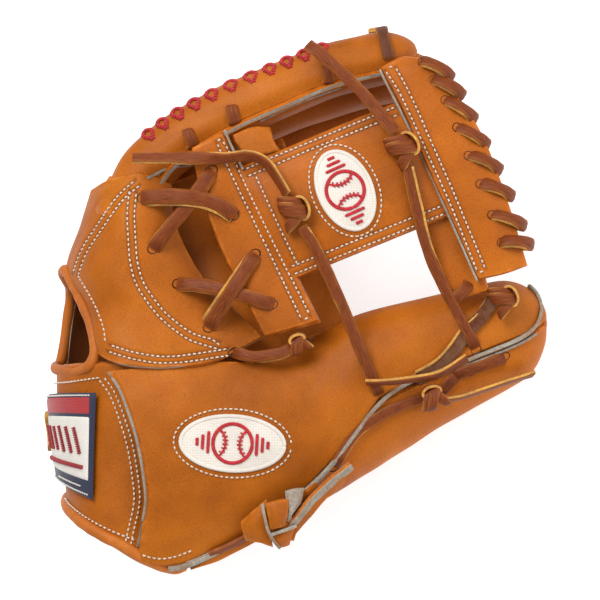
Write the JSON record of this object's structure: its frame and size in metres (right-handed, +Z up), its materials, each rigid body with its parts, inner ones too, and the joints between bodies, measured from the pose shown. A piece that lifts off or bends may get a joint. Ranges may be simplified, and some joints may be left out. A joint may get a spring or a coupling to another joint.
{
  "type": "baseball glove",
  "caption": "Worn tan leather fielder's glove for the left hand, with an I-web, rawhide lacing and a thumb that folds in towards the fingers.",
  "frame": {"origin": "centre of the glove's footprint, on the surface it rests on", "axes": "+Z up off the surface, +X from the wrist opening towards the fingertips and the top of the web, +Y towards the little finger's side"},
  "size_m": [0.2754, 0.2052, 0.14],
  "materials": {
    "shell_leather": "oiled tan steerhide with fine grain and wear",
    "palm_leather": "darker palm leather, handled",
    "rawhide_lace": "red-brown flat lace with pale cut edges",
    "binding": "rolled soft tan leather",
    "lining": "soft deertan lining",
    "felt": "pressed wool felt",
    "welt": "raw grey split edge",
    "patch": "white embroidered cloth patch with a red mark",
    "label": "woven label, navy border"
  },
  "bodies": {
    "fingers_side": {"back_opening_binding": "binding", "crotch_lace_lower": "rawhide_lace", "crotch_lace_upper": "rawhide_lace", "crotch_panel": "shell_leather", "fingertip_lace": "rawhide_lace", "index_back": "shell_leather", "index_palm": "palm_leather", "index_side_lace": "rawhide_lace", "knuckle_back": "shell_leather", "middle_back": "shell_leather", "middle_palm": "palm_leather", "palm_liner": "lining", "palm_pad": "felt", "palm_shell": "palm_leather", "pinky_back": "shell_leather", "pinky_loop": "lining", "pinky_palm": "palm_leather", "pinky_side_back": "shell_leather", "pocket_panel": "palm_leather", "ring_back": "shell_leather", "ring_palm": "palm_leather", "strap_label": "label", "top_edge_lace": "rawhide_lace", "web_base_bar": "shell_leather", "web_i_bar": "shell_leather", "web_knot_middle": "rawhide_lace", "web_knot_upper": "rawhide_lace", "web_lace_middle": "rawhide_lace", "web_lace_tail": "rawhide_lace", "web_lace_upper": "rawhide_lace", "web_patch": "patch", "web_tab": "shell_leather", "web_top_bar": "shell_leather", "wrist_binding": "binding", "wrist_side_panel": "shell_leather", "wrist_strap": "shell_leather"},
    "thumb_side": {"heel_lace": "rawhide_lace", "heel_strap": "shell_leather", "thenar_palm": "palm_leather", "thumb_back": "shell_leather", "thumb_knot_lower": "rawhide_lace", "thumb_knot_upper": "rawhide_lace", "thumb_lace": "rawhide_lace", "thumb_loop": "lining", "thumb_pad": "felt", "thumb_palm": "palm_leather", "thumb_patch": "patch", "thumb_tail_lower": "rawhide_lace", "thumb_tail_upper": "rawhide_lace", "thumb_welt": "welt"}
  },
  "joints": [
    {"name": "thumb_fold", "type": "hinge", "parent": "fingers_side", "child": "thumb_side", "pos_m": [-0.06508, 0.01906, 0.06697], "axis": [0.4908, 0.8257, 0.278], "range_deg": [0, 28], "stiffness_Nm_per_rad": 4}
  ]
}
